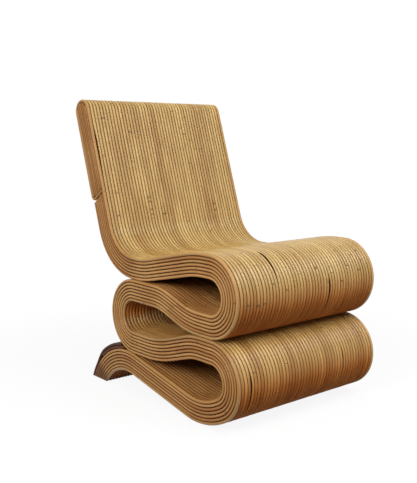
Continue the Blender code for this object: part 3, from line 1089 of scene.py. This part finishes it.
scarf_distance = reached["back"] + SCARF_UP_BACK
for number in range(2, COURSES + 1):
    offsets = [course_offset(number) + side * HALF_POLE for side in (-1, 1)]
    low, high = [block_floor(offset) for offset in offsets], [block_ceiling(offset) for offset in offsets]
    tilts = ((low[1] - low[0]) / POLE_DEPTH, (high[1] - high[0]) / POLE_DEPTH)
    start, end = scarf_distance + sum(low) / 2, scarf_distance + sum(high) / 2
    make_inner(f"course_{number}_back", start, end, number, tilts)

# %% [markdown]
# ## The foot cover
#
# Over the arch of the foot lies one more course, much darker than the rest: its colour is partly a
# darker stain and partly painted shade. Towards the rear roll it lifts off the band, and a filler of
# the same dark poles lies under it, so the foot grows thicker up to the roll that it carries.

# %% Foot cover and its filler
LIFT_START, LIFT_END = 0.055, 0.105
FILLER_TUCK = 0.012
COVER_RED_RARITY, FILLER_RED_RARITY = 4, 1
contact = math.atan2(rear_z - arch_z, REAR_NOSE["y"] - FOOT_ARCH["y"]) + math.pi / 2


def room_to_roll(outer_radius):
    """How far a course over the arch can run before it meets the rear roll."""
    centres = FOOT_ARCH["radius"] + REAR_NOSE["radius"] + GAP
    clear = (centres**2 + outer_radius**2 - (REAR_NOSE["radius"] + GAP) ** 2) / (2 * centres * outer_radius)
    return (contact - math.acos(clear) - start_heading) * arch.radius


def cover_lift(distance):
    """How far the cover has left the band. It lifts on the outer side, which counts as negative."""
    share = min(1, max(0, (distance - LIFT_START) / (LIFT_END - LIFT_START)))
    return -COURSE_PITCH * share**2 * (3 - 2 * share)


cover = bmesh.new()
cover_lengths = [
    (0, room_to_roll(cover_radius + COURSE_PITCH), cover_lift, COVER_RED_RARITY),
    (LIFT_END - FILLER_TUCK, room_to_roll(cover_radius), None, FILLER_RED_RARITY),
]
for pole in range(POLES):
    chance = random.Random(f"foot_cover {pole}")
    for layer, (low, high, lift, rarity) in enumerate(cover_lengths):
        bm = bmesh.new()
        add_length(
            bm,
            core_path,
            low,
            high,
            row_x(pole),
            block_rear,
            -1,
            touched_sides(pole, "F"),
            knots={},
            lift=lift,
            tint=chance.random(),
            warmth=seldom_high(chance, rarity),
        )
        cut_level(bm)
        unroll(bm, pole * 2 + layer, POLES * 2, (0, high))
        join_pole(cover, bm)
finish_piece("foot_cover", cover, foot_rattan)

# %% [markdown]
# ## The pins
#
# Short wooden pins through the inner courses keep them from sliding on each other. They are
# hidden, so the CAD pins stay and only get a finish: a plain hardwood with long grain.

# %% Pins
PIN_PALE, PIN_DEEP = (0.58, 0.43, 0.27), (0.40, 0.27, 0.15)
PIN_GRAIN = (900, 900, 60)

pin_wood, start, shader = new_finish("turned_pin_wood")
texture_place = start.node("ShaderNodeTexCoord", {}, {}, "Object")
stretched = start.node("ShaderNodeVectorMath", {"operation": "MULTIPLY"}, {0: texture_place, 1: PIN_GRAIN})
grain = start.node("ShaderNodeTexNoise", {}, {"Vector": stretched, "Scale": 1, "Detail": 3}, "Fac")
plug(blend_colours(grain, PIN_PALE, PIN_DEEP), shader, "Base Color")
plug(0.55 + grain * 0.2, shader, "Roughness")
pins = [node for name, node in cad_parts.items() if "_pin_" in name]
for pin in pins:
    pin.data.materials.clear()
    pin.data.materials.append(pin_wood)
print("pins:", len(pins))

# %% [markdown]
# ## Floor and light
#
# The chair stands in a white studio. A floor that is simply bright would need too much light, so
# the camera sees it mostly as plain white, with enough of its real shading mixed in to keep the
# soft shadow under the chair. The light that falls on the chair is softer than that: a broad lamp
# above the front, one at the left, which reaches into the hollows, a weak one from above for the
# sheen on the rolls, and a dim room that fills the rest.

# %% Floor
FLOOR_SIZE = 12
FLOOR_SHADE, FLOOR_WHITE = (0.20, 0.19, 0.18), (0.95, 0.95, 0.95)
FLOOR_ROUGHNESS = 0.9
PLAIN_WHITE = 0.9
SHADOW_REACH = (0.5, 1.3)

floor_mesh = bpy.data.meshes.new("floor")
floor_bm = bmesh.new()
bmesh.ops.create_grid(floor_bm, x_segments=1, y_segments=1, size=FLOOR_SIZE)
floor_bm.to_mesh(floor_mesh)
floor_bm.free()
floor = bpy.data.objects.new("floor", floor_mesh)
bpy.context.scene.collection.objects.link(floor)


def seen_white(start):
    """1 for what is seen straight, in a gloss or through glass, and 0 for light that falls on things."""
    kinds = ("Is Camera Ray", "Is Glossy Ray", "Is Transmission Ray")
    camera_ray, glossy_ray, glass_ray = (start.node("ShaderNodeLightPath", {}, {}, kind) for kind in kinds)
    return start.math("MAXIMUM", start.math("MAXIMUM", camera_ray, glossy_ray), glass_ray)


pale_floor, start, shader = new_finish("pale_floor")
white_ray = seen_white(start)
plug(blend_colours(white_ray, FLOOR_SHADE, FLOOR_WHITE), shader, "Base Color")
shader.inputs["Roughness"].default_value = FLOOR_ROUGHNESS
glow = start.node("ShaderNodeEmission", {}, {"Strength": 1.0})
place = start.node("ShaderNodeTexCoord", {}, {}, "Object")
away = start.node("ShaderNodeVectorMath", {"operation": "LENGTH"}, {0: place}, "Value")
seen = white_ray * (PLAIN_WHITE + (1 - PLAIN_WHITE) * ease(away, *SHADOW_REACH))
shaded = Wire(start.tree, shader.outputs[0])
mixed = start.node("ShaderNodeMixShader", {}, {0: seen, 1: shaded, 2: glow})
start.tree.links.new(mixed.socket, start.tree.nodes["Material Output"].inputs["Surface"])
floor_mesh.materials.append(pale_floor)
print("floor", 2 * FLOOR_SIZE, "m wide")

# %% Room and lamps
ROOM_LIGHT, FLOOR_LIGHT = 0.36, 0.16
CEILING_FROM = (-0.1, 0.7)

world = bpy.data.worlds.new("white_room")
bpy.context.scene.world = world
world.use_nodes = True
room = Wire(world.node_tree)
white_ray = seen_white(room)
backdrop = world.node_tree.nodes["Background"]
backdrop.inputs["Color"].default_value = (1, 1, 1, 1)
direction = room.node("ShaderNodeTexCoord", {}, {}, "Generated")
height = room.node("ShaderNodeSeparateXYZ", {}, {0: direction}, "Z")
ceiling = FLOOR_LIGHT + (ROOM_LIGHT - FLOOR_LIGHT) * ease(height, *CEILING_FROM)
plug(white_ray + (1 - white_ray) * ceiling, backdrop, "Strength")


def soft_lamp(name, place, target, size, power):
    """A round area lamp that looks at its target."""
    lamp = bpy.data.objects.new(name, bpy.data.lights.new(name, "AREA"))
    bpy.context.scene.collection.objects.link(lamp)
    lamp.location = place
    lamp.rotation_euler = (Vector(target) - Vector(place)).to_track_quat("-Z", "Y").to_euler()
    lamp.data.shape = "DISK"
    lamp.data.size = size
    lamp.data.energy = power


soft_lamp("key", place=(0.2, -1.6, 2.2), target=(0, 0, 0.35), size=1.6, power=40)
soft_lamp("side", place=(-2.2, -0.9, 1.5), target=(0, 0, 0.3), size=1.2, power=39)
soft_lamp("top", place=(0.7, 0.4, 2.4), target=(0, -0.2, 0.4), size=0.9, power=3)
bpy.context.scene.view_settings.view_transform = "Standard"
print("room light", ROOM_LIGHT)
